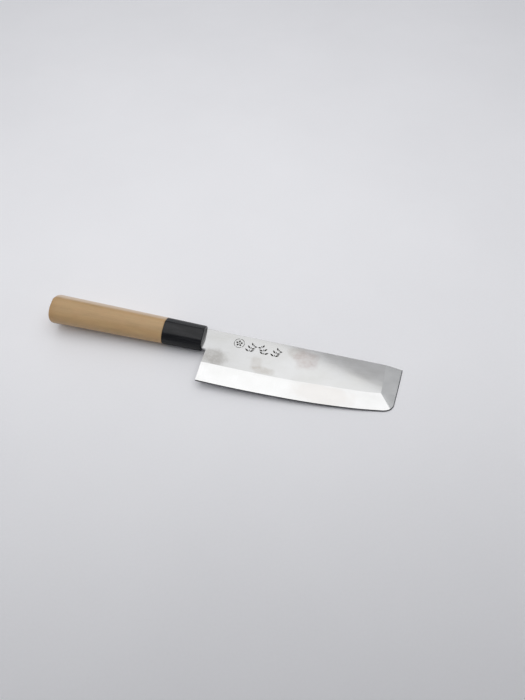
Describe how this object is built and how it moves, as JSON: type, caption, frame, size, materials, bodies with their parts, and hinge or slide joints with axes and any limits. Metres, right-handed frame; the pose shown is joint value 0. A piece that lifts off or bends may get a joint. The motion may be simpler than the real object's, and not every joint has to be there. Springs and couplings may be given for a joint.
{
  "type": "square-ended single-bevel knife",
  "caption": "Square-ended single-bevel knife: laminated blade with a long bevel and an end bevel, hidden tang, oval ridged wooden handle and black collar.",
  "frame": {"origin": "centre of the handle's flat butt face, on the handle's axis", "axes": "+X along the handle towards the blade's end, +Y towards the spine, +Z out of the bevelled front of the blade"},
  "size_m": [0.3128, 0.0556, 0.0234],
  "materials": {
    "handle_wood": "bare, fine straight-grained pale wood",
    "ferrule": "polished black",
    "adhesive": "set resin",
    "soft_steel": "satin ground, lightly stained",
    "hard_steel": "fine ground, bright"
  },
  "bodies": {
    "root": {"handle_wood": "handle_wood", "ferrule": "ferrule", "tang_adhesive": "adhesive", "blade_cladding": "soft_steel", "blade_edge_steel": "hard_steel"}
  },
  "joints": []
}
